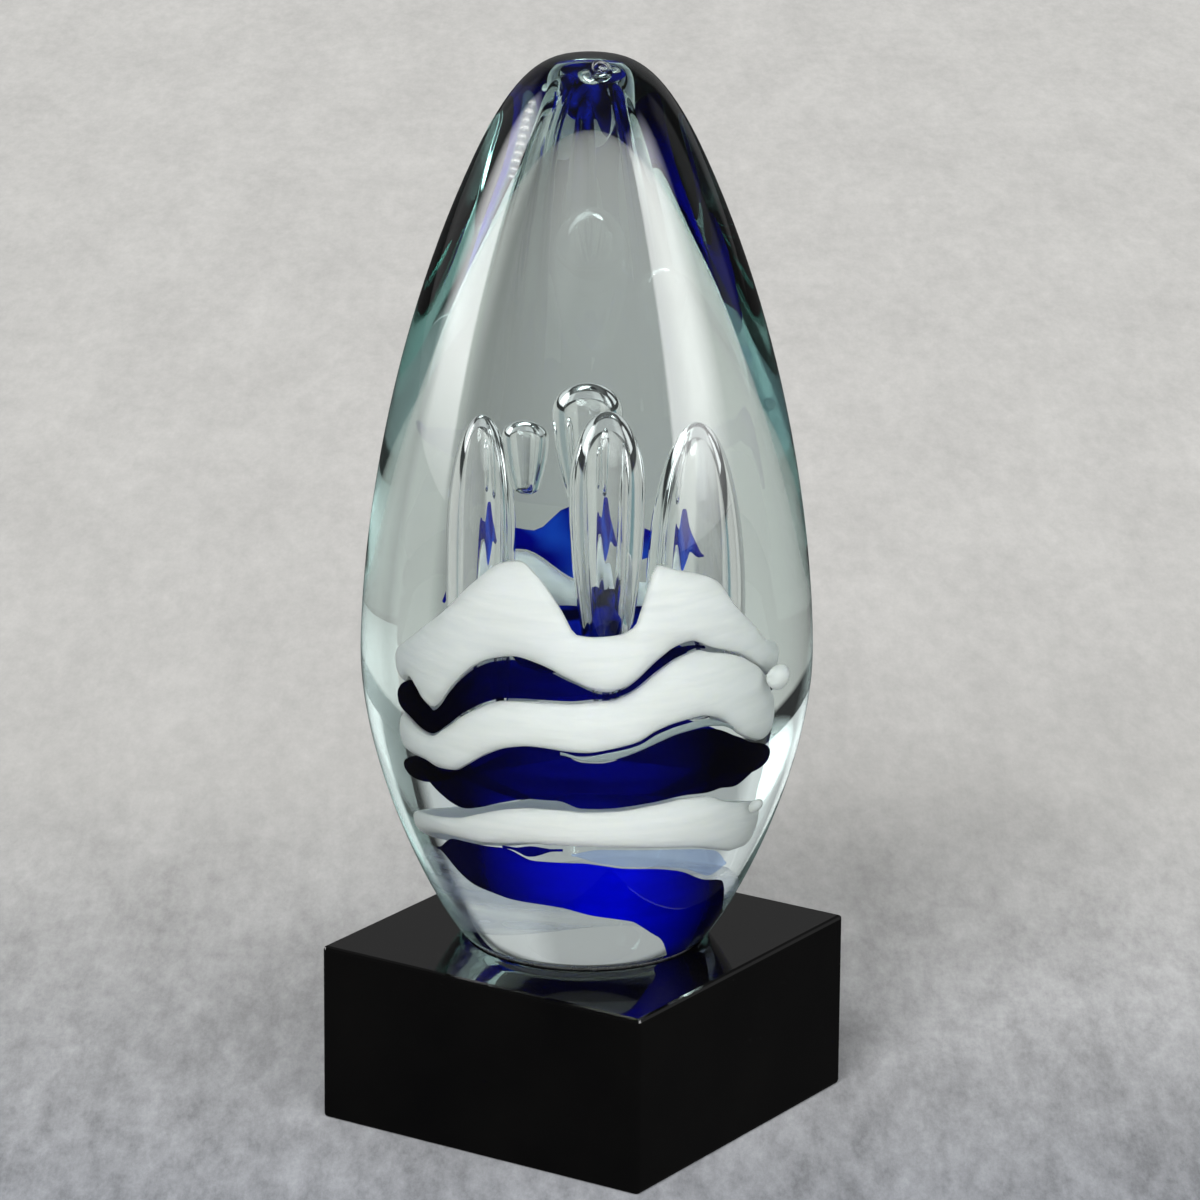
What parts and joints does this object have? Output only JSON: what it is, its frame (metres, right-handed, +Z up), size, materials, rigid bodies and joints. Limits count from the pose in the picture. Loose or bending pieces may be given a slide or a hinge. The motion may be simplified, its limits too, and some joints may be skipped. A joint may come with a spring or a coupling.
{
  "type": "art glass egg",
  "caption": "Tall solid glass egg on a square black block, with wavy white and cobalt bands round a clear core and finger-shaped air bubbles above them",
  "frame": {"origin": "centre of the block's underside", "axes": "+Z up; the block's sides lie along X and Y; the egg's front faces between -Y and +X"},
  "size_m": [0.095, 0.095, 0.2276],
  "materials": {
    "base_block": "polished black crystal",
    "adhesive_disc": "cured clear adhesive",
    "clear_core": "clear",
    "clear_casing": "clear, fire polished, with a faint green cast",
    "white_band": "opaque white, smooth",
    "blue_band": "deep transparent cobalt, smooth"
  },
  "bodies": {
    "root": {"base_block": "base_block", "adhesive_disc": "adhesive_disc", "clear_core": "clear_core", "clear_casing": "clear_casing", "white_band_upper": "white_band", "white_band_middle": "white_band", "white_band_lower": "white_band", "white_band_rear": "white_band", "blue_band_crown": "blue_band", "blue_band_upper": "blue_band", "blue_band_middle": "blue_band", "blue_band_lower": "blue_band"}
  },
  "joints": []
}
